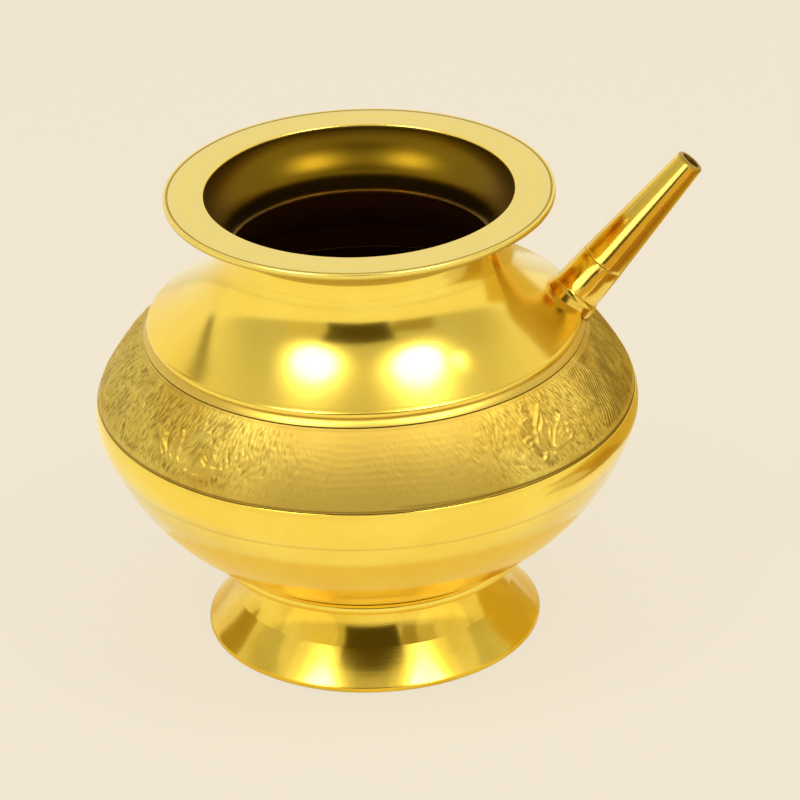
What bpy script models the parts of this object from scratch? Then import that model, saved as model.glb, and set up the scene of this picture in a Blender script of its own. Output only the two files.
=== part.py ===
"""Spouted water pot of spun and turned brass, brazed together from separate pieces.

+Z is up and the spout points along +X. The pot stands on z = 0. The origin is the
middle of the footprint, so the turning axis of the pot lies a little to -X of it.
Dimensions below are in millimetres and degrees. The meshes are in metres.
"""

import math

import bmesh
import bpy
from mathutils import Vector

MM = 0.001

# Overall form
BELLY_RADIUS = 62.5
HEIGHT = 109.4
WALL = 1.2
GAP = 0.3

# Lip and neck
LIP_RADIUS = 44.6
MOUTH_RADIUS = 35.3
LIP_THICKNESS = 1.5
LIP_EDGE = 0.45
NECK_RADIUS = 33.0
NECK_SEAM_Z = 97.4
NECK_SPIGOT_DEPTH = 2.6
THROAT_RADIUS = 30.6

# Shoulder
NOSE_RADIUS = 49.9
NOSE_Z = 77.3
GROOVE_Z = 76.2
GROOVE_DEPTH = 0.4
BAND_TOP_RADIUS = 50.8
BAND_TOP_Z = 74.7
SHOULDER_SPIGOT_RADIUS = 49.2
SHOULDER_SPIGOT_DEPTH = 2.8

# Chased band and bowl
BELLY_SEAM_RADIUS = 62.1
BELLY_SEAM_Z = 59.1
BAND_BULGE = 1.1
RIM_HEIGHT = 2.0
TONGUE_RADIUS = 59.3
TONGUE_HEIGHT = 2.3
BELLY_BULGE = 1.0
CREASE_RADIUS = 60.9
CREASE_Z = 49.5
BOWL_BULGE = 3.0
BOWL_FOOT_RADIUS = 37.0
BOWL_FOOT_Z = 22.2
BOWL_BASE_RADIUS = 35.6
BOWL_BASE_Z = 21.2

# Foot
BEAD_ROOT_RADIUS = 35.3
BEAD_HEIGHT = 2.2
BEAD_BULGE = 1.2
COVE_RADIUS = 31.2
FILLET_RADIUS = 32.0
STEM_RADIUS = 27.9
STEM_TOP_Z = 16.6
STEM_SPIGOT_DEPTH = 2.8
FOOT_RADIUS = 38.9
FOOT_EDGE_Z = 0.9
FOOT_RING_WIDTH = 1.8

# Spout, measured along its own axis from the point where that axis leaves the shoulder
SPOUT_ROOT_RADIUS = 48.0
SPOUT_ROOT_Z = 78.8
SPOUT_TILT = 49.0
SPOUT_LENGTH = 42.5
SPOUT_ROOT_HALF_WIDTH = 5.75
SPOUT_JOINT_HALF_WIDTH = 5.35
SPOUT_TIP_HALF_WIDTH = 3.25
SPOUT_TIP_BORE = 2.2
SPOUT_BORE = 3.2
FERRULE_BORE = 1.9
SOCKET_RADIUS = 4.4
SOCKET_DEPTH = 6.0
FERRULE_STEM = 2.7
FERRULE_INNER_END = -5.5
FERRULE_TOP = 11.2
COLLAR_HALF_WIDTH = 6.4
COLLAR_TOP = 1.8
COLLAR_SKIRT = 3.0
FILLER_SIZE = 1.1

# Facets round each turned piece
BODY_SIDES = 44
SPOUT_SIDES = 24

TILT = math.radians(SPOUT_TILT)
SPOUT_TIP_RADIUS = SPOUT_ROOT_RADIUS + SPOUT_LENGTH * math.cos(TILT)
SPOUT_REACH = SPOUT_TIP_RADIUS + SPOUT_TIP_HALF_WIDTH * math.sin(TILT)
AXIS_X = (BELLY_RADIUS - SPOUT_REACH) / 2.0

POLISHED = {"colour": (0.83, 0.56, 0.11), "roughness": 0.16}
SATIN = {"colour": (0.80, 0.56, 0.16), "roughness": 0.38}
CHASED = {"colour": (0.66, 0.43, 0.09), "roughness": 0.45}
FILLER = {"colour": (0.78, 0.62, 0.27), "roughness": 0.40}


def arc(start, end, rise, steps):
    """Points on a circular arc that rises to the left of the way from start to end."""
    start, end = Vector(start), Vector(end)
    chord = end - start
    along = chord.normalized()
    left = Vector((-along.y, along.x))
    half = chord.length / 2.0
    radius = (half * half + rise * rise) / (2.0 * rise)
    sweep = math.asin(half / radius)
    centre = (start + end) / 2.0 + left * (rise - radius)
    points = []
    for step in range(steps + 1):
        angle = sweep * (2.0 * step / steps - 1.0)
        points.append(centre + along * (radius * math.sin(angle)) + left * (radius * math.cos(angle)))
    return points


def bezier(first, second, third, fourth, steps):
    """Points on a cubic curve between the first and the fourth control point."""
    first, second, third, fourth = Vector(first), Vector(second), Vector(third), Vector(fourth)
    points = []
    for step in range(steps + 1):
        t = step / steps
        u = 1.0 - t
        points.append(first * u**3 + second * 3.0 * u * u * t + third * 3.0 * u * t * t + fourth * t**3)
    return points


def offset(points, distance):
    """Move an open line of points sideways, to the left of its way."""
    moved = []
    for index, point in enumerate(points):
        before = points[max(index - 1, 0)]
        after = points[min(index + 1, len(points) - 1)]
        way = (after - before).normalized()
        moved.append(point + Vector((-way.y, way.x)) * distance)
    return moved


def brass(name, finish):
    """Principled brass for one piece."""
    material = bpy.data.materials.new(name)
    material.use_nodes = True
    shader = material.node_tree.nodes["Principled BSDF"]
    shader.inputs["Base Color"].default_value = (*finish["colour"], 1.0)
    shader.inputs["Metallic"].default_value = 1.0
    shader.inputs["Roughness"].default_value = finish["roughness"]
    return material


def empty(name, parent, location, rotation=(0.0, 0.0, 0.0)):
    """An axis that pieces are parented to."""
    axis = bpy.data.objects.new(name, None)
    axis.parent = parent
    axis.location = location
    axis.rotation_euler = rotation
    bpy.context.collection.objects.link(axis)
    return axis


def turned(name, outline, sides, finish, parent):
    """Spin an outline of (radius, height) points once round the parent's Z axis.

    An outline is a closed loop, unless it starts and ends on the axis.
    """
    work = bmesh.new()
    corners = [work.verts.new((radius * MM, 0.0, height * MM)) for radius, height in outline]
    edges = [work.edges.new(pair) for pair in zip(corners, corners[1:])]
    if outline[0][0] > 0.0:
        edges.append(work.edges.new((corners[-1], corners[0])))
    bmesh.ops.spin(work, geom=corners + edges, cent=(0.0, 0.0, 0.0), axis=(0.0, 0.0, 1.0),
                   angle=math.tau, steps=sides, use_merge=True)
    bmesh.ops.remove_doubles(work, verts=work.verts, dist=0.001 * MM)
    bmesh.ops.recalc_face_normals(work, faces=work.faces)
    mesh = bpy.data.meshes.new(name)
    work.to_mesh(mesh)
    work.free()
    mesh.shade_smooth()
    mesh.set_sharp_from_angle(angle=math.radians(35.0))
    piece = bpy.data.objects.new(name, mesh)
    piece.parent = parent
    if finish is not None:
        mesh.materials.append(brass(name + "_brass", finish))
    bpy.context.collection.objects.link(piece)
    return piece


def form(name, outline, sides, parent):
    """A solid that only cuts or trims other pieces."""
    solid = turned(name, outline, sides, None, parent)
    solid.hide_render = True
    solid.display_type = "WIRE"
    return solid


def trim(piece, operation, solid):
    """Cut a piece by a form, or keep what lies inside it."""
    modifier = piece.modifiers.new(solid.name, "BOOLEAN")
    modifier.operation = operation
    modifier.object = solid
    modifier.solver = "EXACT"


def shoulder_outer(steps):
    """Outer line of the shoulder, from the neck seam down to the rounded nose."""
    curve = bezier((NECK_RADIUS, NECK_SEAM_Z), (NECK_RADIUS, NECK_SEAM_Z - 7.9),
                   (NOSE_RADIUS - 7.5, NOSE_Z + 5.5), (NOSE_RADIUS - 0.9, NOSE_Z + 1.0), steps)
    return curve + [Vector((NOSE_RADIUS - 0.2, NOSE_Z + 0.5)), Vector((NOSE_RADIUS, NOSE_Z))]


def shoulder_inner(steps):
    """Inner line of the shoulder, from the neck seam down to the spigot."""
    inner = SHOULDER_SPIGOT_RADIUS - WALL
    return bezier((NECK_RADIUS - WALL, NECK_SEAM_Z), (NECK_RADIUS - WALL, NECK_SEAM_Z - 8.4),
                  (inner - 6.7, NOSE_Z + 4.8), (inner - 0.8, NOSE_Z + 0.6), steps)


def band_outer(steps):
    """Outer line of the chased band, from its top edge down to the belly seam."""
    return arc((BAND_TOP_RADIUS, BAND_TOP_Z - GAP / 2.0), (BELLY_SEAM_RADIUS, BELLY_SEAM_Z + GAP / 2.0),
               BAND_BULGE, steps)


def mouth_ring(axis):
    """Flat lip and flared neck, with a spigot that enters the shoulder."""
    under_lip = HEIGHT - LIP_THICKNESS
    spigot = NECK_RADIUS - WALL - GAP
    seam = NECK_SEAM_Z + GAP
    outline = [(MOUTH_RADIUS + LIP_EDGE, HEIGHT), (LIP_RADIUS - LIP_EDGE, HEIGHT)]
    outline += arc((LIP_RADIUS - LIP_EDGE / 3.0, HEIGHT - LIP_EDGE / 3.0),
                   (LIP_RADIUS - LIP_EDGE, under_lip), LIP_EDGE / 2.0, 3)
    outline += bezier((NECK_RADIUS + 5.5, under_lip - 0.3), (NECK_RADIUS + 2.0, under_lip - 0.7),
                      (NECK_RADIUS, seam + 4.8), (NECK_RADIUS, seam), 5)
    outline += [(spigot, seam), (spigot, seam - NECK_SPIGOT_DEPTH)]
    outline += [(THROAT_RADIUS, seam - NECK_SPIGOT_DEPTH)]
    outline += bezier((THROAT_RADIUS, seam + 0.5), (THROAT_RADIUS, seam + 3.6),
                      (MOUTH_RADIUS - 1.0, HEIGHT - 4.0), (MOUTH_RADIUS, HEIGHT - LIP_EDGE), 6)
    turned("mouth_ring", outline, BODY_SIDES, SATIN, axis)


def shoulder(axis, hole):
    """Concave shell with a nose, a turned groove, a plain border and a spigot for the band."""
    seam = BAND_TOP_Z + GAP / 2.0
    spigot_end = seam - SHOULDER_SPIGOT_DEPTH
    inner = SHOULDER_SPIGOT_RADIUS - WALL
    outline = shoulder_outer(8)
    outline += [(NOSE_RADIUS, GROOVE_Z + 0.3), (NOSE_RADIUS - GROOVE_DEPTH, GROOVE_Z)]
    outline += [(NOSE_RADIUS - 0.1, GROOVE_Z - 0.3), (BAND_TOP_RADIUS, seam)]
    outline += [(SHOULDER_SPIGOT_RADIUS, seam), (SHOULDER_SPIGOT_RADIUS, spigot_end), (inner, spigot_end)]
    outline += [(inner, GROOVE_Z - 0.3)]
    outline += reversed(shoulder_inner(7))
    piece = turned("shoulder", outline, BODY_SIDES, POLISHED, axis)
    trim(piece, "DIFFERENCE", hole)


def engraved_band(axis):
    """Convex ring, with a thicker rim bored for the spigot above and the tongue below."""
    top = BAND_TOP_Z - GAP / 2.0
    bottom = BELLY_SEAM_Z + GAP / 2.0
    top_bore = SHOULDER_SPIGOT_RADIUS + GAP
    bottom_bore = TONGUE_RADIUS + GAP
    outline = band_outer(6)
    outline += [(bottom_bore, bottom)]
    outline += arc((bottom_bore, bottom + TONGUE_HEIGHT), (top_bore + 1.6, top - RIM_HEIGHT), -BAND_BULGE, 5)
    outline += [(top_bore, top - RIM_HEIGHT), (top_bore, top)]
    turned("engraved_band", outline, BODY_SIDES, CHASED, axis)


def bowl(axis):
    """Lower shell, closed at the bottom, with a tongue that enters the band."""
    seam = BELLY_SEAM_Z - GAP / 2.0
    tongue_inner = TONGUE_RADIUS - WALL
    outline = [(0.0, BOWL_BASE_Z + WALL), (BOWL_BASE_RADIUS - 0.6, BOWL_BASE_Z + WALL)]
    outline += arc((BOWL_FOOT_RADIUS - 0.2, BOWL_FOOT_Z + WALL), (CREASE_RADIUS - WALL, CREASE_Z + 0.5),
                   -BOWL_BULGE, 8)
    outline += [(BELLY_RADIUS - WALL, CREASE_Z + 5.5), (tongue_inner, seam - 0.6)]
    outline += [(tongue_inner, seam + TONGUE_HEIGHT), (TONGUE_RADIUS, seam + TONGUE_HEIGHT)]
    outline += [(TONGUE_RADIUS, seam)]
    outline += arc((BELLY_SEAM_RADIUS, seam), (CREASE_RADIUS, CREASE_Z), BELLY_BULGE, 4)
    outline += arc((CREASE_RADIUS, CREASE_Z), (BOWL_FOOT_RADIUS, BOWL_FOOT_Z), BOWL_BULGE, 9)[1:]
    outline += [(BOWL_BASE_RADIUS, BOWL_BASE_Z), (0.0, BOWL_BASE_Z)]
    turned("bowl", outline, BODY_SIDES, POLISHED, axis)


def foot_collar(axis):
    """Turned ring with a bead and a fillet, seated on the foot by a spigot."""
    top = BOWL_BASE_Z - GAP
    bottom = STEM_TOP_Z + GAP
    spigot = STEM_RADIUS - WALL - GAP
    bore = spigot - WALL
    outline = arc((BEAD_ROOT_RADIUS, top), (BEAD_ROOT_RADIUS, top - BEAD_HEIGHT), BEAD_BULGE, 6)
    outline += arc((COVE_RADIUS + 1.6, top - BEAD_HEIGHT), (COVE_RADIUS, bottom + 0.8), -0.3, 2)
    outline += [(FILLET_RADIUS, bottom + 0.5), (FILLET_RADIUS - 0.3, bottom)]
    outline += [(spigot, bottom), (spigot, bottom - STEM_SPIGOT_DEPTH)]
    outline += [(bore, bottom - STEM_SPIGOT_DEPTH), (bore, top)]
    turned("foot_collar", outline, BODY_SIDES, POLISHED, axis)


def foot(axis):
    """Trumpet foot, open below, standing on a narrow flat ring."""
    ring_inner = FOOT_RADIUS - FOOT_RING_WIDTH - 0.2
    outline = bezier((STEM_RADIUS, STEM_TOP_Z), (STEM_RADIUS + 0.7, STEM_TOP_Z - 5.4),
                     (FOOT_RADIUS - 5.9, 5.0), (FOOT_RADIUS - 0.4, FOOT_EDGE_Z), 8)
    outline += [(FOOT_RADIUS, FOOT_EDGE_Z / 2.0), (FOOT_RADIUS - 0.2, 0.0), (ring_inner, 0.0)]
    outline += bezier((ring_inner - 0.9, 0.6), (FOOT_RADIUS - 7.3, 4.6),
                      (STEM_RADIUS - 0.5, STEM_TOP_Z - 5.8), (STEM_RADIUS - WALL, STEM_TOP_Z), 7)
    turned("foot", outline, BODY_SIDES, POLISHED, axis)


def spout_ferrule(axis):
    """Socket that passes through the wall and carries the tube."""
    step = COLLAR_TOP + GAP
    outline = [(FERRULE_STEM, FERRULE_INNER_END), (FERRULE_STEM, step), (SPOUT_ROOT_HALF_WIDTH - 0.2, step)]
    outline += [(SPOUT_ROOT_HALF_WIDTH, step + 0.3), (SPOUT_JOINT_HALF_WIDTH, FERRULE_TOP - 0.2)]
    outline += [(SPOUT_JOINT_HALF_WIDTH - 0.2, FERRULE_TOP), (SOCKET_RADIUS, FERRULE_TOP)]
    outline += [(SOCKET_RADIUS, FERRULE_TOP - SOCKET_DEPTH), (FERRULE_BORE, FERRULE_TOP - SOCKET_DEPTH)]
    outline += [(FERRULE_BORE, FERRULE_INNER_END)]
    turned("spout_ferrule", outline, SPOUT_SIDES, POLISHED, axis)


def spout_tube(axis):
    """Tapered tube with a spigot at its root and a rounded tip."""
    shoulder_end = FERRULE_TOP + GAP
    spigot = SOCKET_RADIUS - GAP
    spigot_end = FERRULE_TOP - SOCKET_DEPTH + GAP
    tip_edge = (SPOUT_TIP_HALF_WIDTH - SPOUT_TIP_BORE) / 2.0
    outline = [(SPOUT_TIP_BORE, SPOUT_LENGTH - 0.2)]
    outline += [(SPOUT_TIP_BORE + tip_edge / 2.0, SPOUT_LENGTH)]
    outline += [(SPOUT_TIP_HALF_WIDTH - tip_edge / 2.0, SPOUT_LENGTH)]
    outline += [(SPOUT_TIP_HALF_WIDTH, SPOUT_LENGTH - 0.4)]
    outline += [(SPOUT_JOINT_HALF_WIDTH - 0.2, shoulder_end + 0.1), (spigot, shoulder_end)]
    outline += [(spigot, spigot_end), (SPOUT_BORE, spigot_end)]
    turned("spout_tube", outline, SPOUT_SIDES, POLISHED, axis)


def spout_collar(axis, body_form):
    """Ring round the ferrule, its underside cut to the curve of the pot."""
    bore = FERRULE_STEM + GAP
    outline = [(bore, COLLAR_TOP), (COLLAR_HALF_WIDTH - 0.7, COLLAR_TOP)]
    outline += arc((COLLAR_HALF_WIDTH - 0.3, COLLAR_TOP - 0.1), (COLLAR_HALF_WIDTH, COLLAR_TOP - 0.9), 0.15, 2)
    outline += [(COLLAR_HALF_WIDTH, -COLLAR_SKIRT), (bore, -COLLAR_SKIRT)]
    piece = turned("spout_collar", outline, SPOUT_SIDES, POLISHED, axis)
    trim(piece, "DIFFERENCE", body_form)


def spout_root_braze(axis, inside_form):
    """Filler round the ferrule, on the inner side of the wall."""
    bore = FERRULE_STEM + GAP
    end = FERRULE_INNER_END + GAP
    outline = [(bore, 0.0), (bore + 2.0 * FILLER_SIZE, 0.0), (bore + FILLER_SIZE, end), (bore, end)]
    piece = turned("spout_root_braze", outline, SPOUT_SIDES, FILLER, axis)
    trim(piece, "INTERSECT", inside_form)


def seam_brazes(axis):
    """Rings of filler at the inner side of each turned seam."""
    neck_end = NECK_SEAM_Z - NECK_SPIGOT_DEPTH
    neck = [(THROAT_RADIUS - GAP, neck_end), (NECK_RADIUS - WALL - GAP, neck_end)]
    neck += [(NECK_RADIUS - WALL - GAP, neck_end - FILLER_SIZE)]
    rim_end = BAND_TOP_Z - RIM_HEIGHT - GAP * 1.5
    bore = SHOULDER_SPIGOT_RADIUS + GAP
    band = [(bore, rim_end), (bore + FILLER_SIZE, rim_end), (bore, rim_end - FILLER_SIZE)]
    tongue_end = BELLY_SEAM_Z + TONGUE_HEIGHT + GAP * 1.5
    belly = [(TONGUE_RADIUS, tongue_end), (TONGUE_RADIUS - 0.8, tongue_end + FILLER_SIZE)]
    belly += [(TONGUE_RADIUS - FILLER_SIZE, tongue_end)]
    collar_bore = STEM_RADIUS - 2.0 * (WALL + GAP)
    base = BOWL_BASE_Z - GAP
    stem = [(collar_bore, base), (collar_bore, base - FILLER_SIZE), (collar_bore - FILLER_SIZE, base)]
    for name, outline in (("neck", neck), ("shoulder", band), ("belly", belly), ("foot", stem)):
        turned(name + "_seam_braze", outline, BODY_SIDES, FILLER, axis)


def main():
    """Build the pot from its foot to its spout."""
    for old in list(bpy.data.objects):
        bpy.data.objects.remove(old, do_unlink=True)
    pot_axis = empty("pot_axis", None, (AXIS_X * MM, 0.0, 0.0))
    spout_axis = empty("spout_axis", pot_axis, (SPOUT_ROOT_RADIUS * MM, 0.0, SPOUT_ROOT_Z * MM),
                       (0.0, math.pi / 2.0 - TILT, 0.0))

    outside = offset(shoulder_outer(8) + band_outer(6), GAP)
    body_form = form("body_form", [(0.0, NECK_SEAM_Z), *outside, (0.0, BELLY_SEAM_Z)], BODY_SIDES, pot_axis)
    spigot_end = (SHOULDER_SPIGOT_RADIUS - WALL, BAND_TOP_Z - SHOULDER_SPIGOT_DEPTH)
    inside = offset(shoulder_inner(7) + [Vector(spigot_end)], -GAP)
    inside_form = form("inside_form", [(0.0, NECK_SEAM_Z), *inside, (0.0, spigot_end[1])], BODY_SIDES, pot_axis)
    stem = FERRULE_STEM + GAP
    drill = [(0.0, -4.0 * COLLAR_SKIRT), (stem, -4.0 * COLLAR_SKIRT), (stem, FERRULE_TOP), (0.0, FERRULE_TOP)]
    hole = form("spout_hole", drill, SPOUT_SIDES, spout_axis)

    foot(pot_axis)
    foot_collar(pot_axis)
    bowl(pot_axis)
    engraved_band(pot_axis)
    shoulder(pot_axis, hole)
    mouth_ring(pot_axis)
    seam_brazes(pot_axis)
    spout_collar(spout_axis, body_form)
    spout_ferrule(spout_axis)
    spout_tube(spout_axis)
    spout_root_braze(spout_axis, inside_form)


main()
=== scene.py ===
import logging
import math
from dataclasses import dataclass, field
from enum import Enum
from typing import Any, Iterable, Optional, Sequence

import bmesh
import bpy
import numpy as np
from mathutils import Matrix, Vector


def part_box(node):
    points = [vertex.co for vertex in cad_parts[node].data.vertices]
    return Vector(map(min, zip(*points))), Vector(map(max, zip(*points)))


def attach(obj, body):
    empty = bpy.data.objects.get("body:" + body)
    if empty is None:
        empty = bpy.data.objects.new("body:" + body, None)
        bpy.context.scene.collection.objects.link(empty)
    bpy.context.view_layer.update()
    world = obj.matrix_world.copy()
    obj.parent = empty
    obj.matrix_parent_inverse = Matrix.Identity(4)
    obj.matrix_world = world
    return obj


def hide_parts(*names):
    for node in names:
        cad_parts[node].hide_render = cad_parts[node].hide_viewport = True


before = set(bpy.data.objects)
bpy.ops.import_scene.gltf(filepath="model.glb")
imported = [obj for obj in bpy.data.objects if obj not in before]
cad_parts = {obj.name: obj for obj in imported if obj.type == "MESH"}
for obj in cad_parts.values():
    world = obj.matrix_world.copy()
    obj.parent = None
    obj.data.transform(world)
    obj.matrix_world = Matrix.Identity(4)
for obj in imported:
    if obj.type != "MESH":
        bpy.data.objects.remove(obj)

# Looks of a spouted water pot in spun, turned and chased yellow brass.
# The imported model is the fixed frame. Each visible piece is a finer mesh of the same
# size, turned round the pot's axis or the spout's axis, with its own finish.
# Lengths in the classes are in millimetres. Meshes, the place of the pot's axis along X, and the
# lamps, cards and floor of the studio are in metres.

LOG = logging.getLogger("water_pot")
MM = 0.001
SHARP_ANGLE = 40.0
SECTOR_STEPS = 24
ROUNDING_SEGMENTS = 4
MERGE_REACH = 0.0005
Point = tuple[float, float]


class Slot(Enum):
    """Material slots of the record, listed beside the vessel's pieces."""

    POLISHED = "polished_brass"
    SATIN = "satin_brass"
    CHASED = "chased_brass"


class Zone(Enum):
    """Vertex attributes that tell a finish where its surface changes."""

    INSIDE = "inside"
    THROAT = "throat"
    # Where the lip's pale colour paints in a sheen, the shoulder's border is duller with painted shade, and
    # the band's front is worn with painted shade
    SATIN = "satin"
    # Where painted shade darkens the metal: grooves, the crease, under the lip, and the band's strokes by
    # their depth
    SHADE_PAINT = "chase"


def linear(hex_colour: str) -> tuple[float, float, float, float]:
    """Turn an sRGB hex colour into linear RGBA.

    Args:
        hex_colour: Six hex digits after a hash.

    Returns:
        Linear red, green, blue and an alpha of 1.
    """
    channels = []
    for start in (1, 3, 5):
        value = int(hex_colour[start:start + 2], 16) / 255.0
        channels.append(value / 12.92 if value <= 0.04045 else ((value + 0.055) / 1.055) ** 2.4)
    return (channels[0], channels[1], channels[2], 1.0)


def add_node(tree: bpy.types.NodeTree, kind: str, inputs: Optional[dict] = None,
             **settings: Any) -> bpy.types.Node:
    """Add a node, set its properties, and fill or link its inputs.

    Args:
        tree: Node tree that gets the node.
        kind: Blender's identifier of the node.
        inputs: Input name or index to a value, or to the output socket that feeds it.
        settings: Properties of the node.

    Returns:
        The new node.
    """
    node = tree.nodes.new(kind)
    for name, value in settings.items():
        setattr(node, name, value)
    for key, value in (inputs or {}).items():
        if isinstance(value, bpy.types.NodeSocket):
            tree.links.new(value, node.inputs[key])
        else:
            node.inputs[key].default_value = value
    return node


def arc(start: Point, end: Point, rise: float, steps: int) -> list[Point]:
    """Points on a circular arc that rises to the left of the way from start to end.

    Args:
        start: First point, as radius and height.
        end: Last point.
        rise: Height of the arc over its chord. Negative rises to the right.
        steps: Number of stretches.

    Returns:
        The points, both ends included.
    """
    first, last = Vector(start), Vector(end)
    along = (last - first).normalized()
    left = Vector((-along.y, along.x))
    half = (last - first).length / 2.0
    radius = (half * half + rise * rise) / (2.0 * rise)
    sweep = math.asin(half / radius)
    centre = (first + last) / 2.0 + left * (rise - radius)
    points = []
    for step in range(steps + 1):
        angle = sweep * (2.0 * step / steps - 1.0)
        point = centre + along * (radius * math.sin(angle)) + left * (radius * math.cos(angle))
        points.append((point.x, point.y))
    return points


def bezier(first: Point, second: Point, third: Point, fourth: Point, steps: int) -> list[Point]:
    """Points on a cubic curve.

    Args:
        first: Start of the curve.
        second: Control point of the start.
        third: Control point of the end.
        fourth: End of the curve.
        steps: Number of stretches.

    Returns:
        The points, both ends included.
    """
    points = []
    for step in range(steps + 1):
        t = step / steps
        u = 1.0 - t
        weights = (u**3, 3.0 * u * u * t, 3.0 * u * t * t, t**3)
        corners = (first, second, third, fourth)
        points.append((sum(w * c[0] for w, c in zip(weights, corners)),
                       sum(w * c[1] for w, c in zip(weights, corners))))
    return points


def mesh_object(name: str, work: bmesh.types.BMesh) -> bpy.types.Object:
    """Make a smooth shaded object of a bmesh and free it.

    Args:
        name: Name of the object and its mesh.
        work: Finished bmesh.

    Returns:
        The object, linked to the scene.
    """
    mesh = bpy.data.meshes.new(name)
    work.to_mesh(mesh)
    work.free()
    mesh.shade_smooth()
    mesh.set_sharp_from_angle(angle=math.radians(SHARP_ANGLE))
    piece = bpy.data.objects.new(name, mesh)
    bpy.context.scene.collection.objects.link(piece)
    return piece


def read_places(mesh: bpy.types.Mesh) -> np.ndarray:
    """Read the places of a mesh's vertices.

    Args:
        mesh: Mesh to be read.

    Returns:
        One row of X, Y and Z in metres for each vertex.
    """
    places = np.empty(len(mesh.vertices) * 3)
    mesh.vertices.foreach_get("co", places)
    return places.reshape(-1, 3)


@dataclass
class Outline:
    """Closed line of radius and height points that is turned round an axis.

    Each point has a rounding for its corner and may belong to a zone of the finish.
    """

    points: list[Point] = field(default_factory=list)
    zones: list[dict[Zone, float]] = field(default_factory=list)
    rounding: list[float] = field(default_factory=list)

    def add(self, points: Iterable[Point], zone: Optional[Zone] = None, share: float = 1.0,
            rounding: float = 0.0) -> "Outline":
        """Append a stretch of the line.

        Args:
            points: Points of the stretch.
            zone: Zone of the finish that the stretch belongs to.
            share: How far it belongs to that zone.
            rounding: Radius of the corners in millimetres, or 0 to leave them.

        Returns:
            The outline itself.
        """
        for point in points:
            self.points.append(point)
            self.zones.append({} if zone is None else {zone: share})
            self.rounding.append(rounding)
        return self

    def spin(self, name: str, steps: int, turn: Matrix) -> bpy.types.Object:
        """Turn the outline once round the local Z axis.

        Args:
            name: Name of the piece.
            steps: Number of facets round the axis.
            turn: Place of the local axis in the frame.

        Returns:
            The piece, at the origin, with its place in its mesh.
        """
        work = bmesh.new()
        layers = {zone: work.verts.layers.float.new(zone.value) for zone in Zone}
        corners = []
        for (radius, height), shares in zip(self.points, self.zones):
            vert = work.verts.new((radius * MM, 0.0, height * MM))
            for zone, share in shares.items():
                vert[layers[zone]] = share
            corners.append(vert)
        for pair in zip(corners, corners[1:]):
            work.edges.new(pair)
        if self.points[0][0] > 0.0:
            work.edges.new((corners[-1], corners[0]))
        for size in sorted({value for value in self.rounding if value > 0.0}):
            chosen = [vert for vert, value in zip(corners, self.rounding) if value == size]
            bmesh.ops.bevel(work, geom=chosen, offset=size * MM, offset_type="OFFSET",
                            segments=ROUNDING_SEGMENTS, profile=0.5, affect="VERTICES", material=-1)
        # One sector is turned first and then repeated, which is much quicker than one long turn
        sectors = steps // SECTOR_STEPS
        axis = {"cent": (0.0, 0.0, 0.0), "axis": (0.0, 0.0, 1.0)}
        bmesh.ops.spin(work, geom=[*work.verts, *work.edges], angle=math.tau / sectors,
                       steps=SECTOR_STEPS, **axis)
        bmesh.ops.spin(work, geom=[*work.verts, *work.edges, *work.faces], use_duplicate=True,
                       angle=math.tau * (sectors - 1) / sectors, steps=sectors - 1, **axis)
        bmesh.ops.remove_doubles(work, verts=work.verts, dist=MERGE_REACH * MM)
        bmesh.ops.recalc_face_normals(work, faces=work.faces)
        bmesh.ops.transform(work, matrix=turn, verts=work.verts)
        return mesh_object(name, work)


@dataclass
class PotAxis:
    """Pieces that are turned round the pot's upright axis."""

    axis_x: float

    def turn(self) -> Matrix:
        """Place of the pot's axis."""
        return Matrix.Translation((self.axis_x, 0.0, 0.0))


@dataclass(frozen=True)
class Handwork:
    """Slow, small departures from a true circle, shared by the pieces turned round the pot's axis so that
    seams stay shut.
    """

    axis_x: float
    depth: float = 0.10
    full_radius: float = 30.0
    swells: int = 9
    crest: float = 1.2
    seed: int = 7

    def apply(self, piece: bpy.types.Object) -> None:
        """Push the piece's vertices in and out a little, away from the pot's axis.

        Args:
            piece: Piece to be given the uneven shape.
        """
        place = read_places(piece.data)
        across = place[:, 0] - self.axis_x
        radius = np.hypot(across, place[:, 1])
        turn = np.arctan2(place[:, 1], across)
        chance = np.random.default_rng(self.seed)
        push = np.zeros(len(place))
        for _ in range(self.swells):
            waves = chance.integers(2, 9)
            height = chance.uniform(0.02, 0.06)
            phase = chance.uniform(0.0, math.tau)
            tilt = chance.uniform(-1.0, 1.0)
            push += np.sin(waves * turn + tilt * math.tau * place[:, 2] / height + phase) / waves
        push *= self.depth * MM * np.clip(radius / (self.full_radius * MM), 0.0, 1.0) / self.crest
        grow = 1.0 + push / np.maximum(radius, MM)
        place[:, 0] = self.axis_x + across * grow
        place[:, 1] *= grow
        piece.data.vertices.foreach_set("co", place.ravel())
        piece.data.update()


@dataclass(frozen=True)
class Patch:
    """Change of a finish inside one zone."""

    zone: Zone
    colour: str
    roughness: float
    low: float = 0.0
    high: float = 1.0
    most: float = 1.0


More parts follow.
